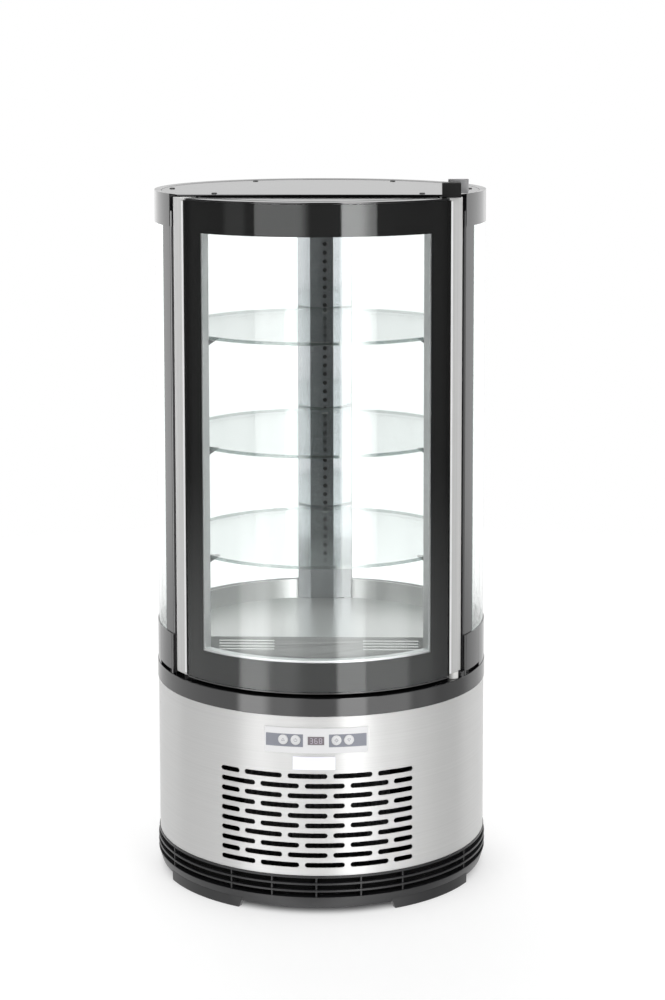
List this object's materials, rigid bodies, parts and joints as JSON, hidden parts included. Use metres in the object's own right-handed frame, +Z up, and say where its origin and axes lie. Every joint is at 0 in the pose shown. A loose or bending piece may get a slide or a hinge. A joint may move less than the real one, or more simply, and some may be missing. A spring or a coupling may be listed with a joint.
{
  "type": "cake display case",
  "caption": "Round refrigerated glass display cabinet with a curved hinged door, glass shelves and a steel base with a cooling unit.",
  "frame": {"origin": "centre of the footprint on the surface the case stands on", "axes": "+Z up along the axis of the case, the door faces -Y, +X to the right as seen from the front"},
  "size_m": [0.4732, 0.4732, 0.9954],
  "materials": {
    "base_plastic": "moulded black plastic",
    "plate_steel": "zinc-plated sheet",
    "shell_steel": "brushed stainless sheet",
    "gloss_black": "polished black",
    "panel_film": "satin grey overlay",
    "display_film": "dark tinted window",
    "button_plastic": "pale satin plastic",
    "badge_metal": "bare plate",
    "clear_glass": "clear polished glass",
    "door_aluminium": "brushed and anodised",
    "dark_rubber": "soft black seal",
    "tub_plastic": "white foamed plastic",
    "coil_metal": "finned coil block",
    "liner_metal": "pale painted sheet",
    "lamp_diffuser": "white diffuser",
    "bracket_steel": "grey satin steel",
    "pin_steel": "turned steel",
    "compressor_paint": "black enamel",
    "bush_plastic": "white nylon"
  },
  "bodies": {
    "case": {"base_ring": "base_plastic", "base_plate": "plate_steel", "steel_shell": "shell_steel", "control_panel": "panel_film", "display_window": "display_film", "badge_plate": "badge_metal", "controller_box": "base_plastic", "power_inlet": "base_plastic", "compressor": "compressor_paint", "condenser_coil": "coil_metal", "condenser_fan_shroud": "plate_steel", "collar_ring": "gloss_black", "evaporator_tub": "tub_plastic", "evaporator_coil": "coil_metal", "evaporator_fan_frame": "base_plastic", "chamber_floor": "shell_steel", "front_sill": "shell_steel", "glass_base_ring": "gloss_black", "left_outer_glass": "clear_glass", "left_inner_glass": "clear_glass", "right_outer_glass": "clear_glass", "right_inner_glass": "clear_glass", "rear_column": "shell_steel", "left_post": "gloss_black", "right_post": "gloss_black", "top_ring": "gloss_black", "top_front_rail": "gloss_black", "ceiling_liner": "liner_metal", "led_lamp": "lamp_diffuser", "top_cover": "gloss_black", "shelf_1": "clear_glass", "shelf_2": "clear_glass", "shelf_3": "clear_glass", "shelf_1_left_arm": "bracket_steel", "shelf_1_right_arm": "bracket_steel", "shelf_2_left_arm": "bracket_steel", "shelf_2_right_arm": "bracket_steel", "shelf_3_left_arm": "bracket_steel", "shelf_3_right_arm": "bracket_steel", "shelf_1_rear_clip": "pin_steel", "shelf_2_rear_clip": "pin_steel", "shelf_3_rear_clip": "pin_steel", "top_hinge_bracket": "bracket_steel", "top_hinge_block": "base_plastic", "bottom_hinge_bush": "bush_plastic", "bottom_hinge_pin": "pin_steel"},
    "door": {"door_outer_glass": "clear_glass", "door_inner_glass": "clear_glass", "door_spacer_frame": "base_plastic", "door_top_cap": "gloss_black", "door_bottom_cap": "gloss_black", "door_handle_profile": "door_aluminium", "door_hinge_profile": "door_aluminium", "door_gasket": "dark_rubber"},
    "button_1": {"button_1": "button_plastic"},
    "button_2": {"button_2": "button_plastic"},
    "button_3": {"button_3": "button_plastic"},
    "button_4": {"button_4": "button_plastic"},
    "condenser_fan": {"condenser_fan_blade": "bush_plastic"},
    "evaporator_fan": {"evaporator_fan_blade": "base_plastic"}
  },
  "joints": [
    {"name": "door_hinge", "type": "hinge", "parent": "case", "child": "door", "pos_m": [0.18699, -0.12622, 0.3025], "axis": [0, 0, 1], "range_deg": [0, 110]},
    {"name": "button_1_press", "type": "slide", "parent": "case", "child": "button_1", "axis": [0.1901, 0.9818, 0], "range_m": [0, 0.0008], "stiffness_N_per_m": 500, "springref_m": -0.0005},
    {"name": "button_2_press", "type": "slide", "parent": "case", "child": "button_2", "axis": [0.118, 0.993, 0], "range_m": [0, 0.0008], "stiffness_N_per_m": 500, "springref_m": -0.0005},
    {"name": "button_3_press", "type": "slide", "parent": "case", "child": "button_3", "axis": [-0.118, 0.993, 0], "range_m": [0, 0.0008], "stiffness_N_per_m": 500, "springref_m": -0.0005},
    {"name": "button_4_press", "type": "slide", "parent": "case", "child": "button_4", "axis": [-0.1901, 0.9818, 0], "range_m": [0, 0.0008], "stiffness_N_per_m": 500, "springref_m": -0.0005},
    {"name": "condenser_fan_spin", "type": "hinge", "parent": "case", "child": "condenser_fan", "pos_m": [0, -0.14015, 0.0949], "axis": [0, 1, 0], "continuous": true},
    {"name": "evaporator_fan_spin", "type": "hinge", "parent": "case", "child": "evaporator_fan", "pos_m": [0, 0.12, 0.30275], "axis": [0, 0, 1], "continuous": true}
  ]
}
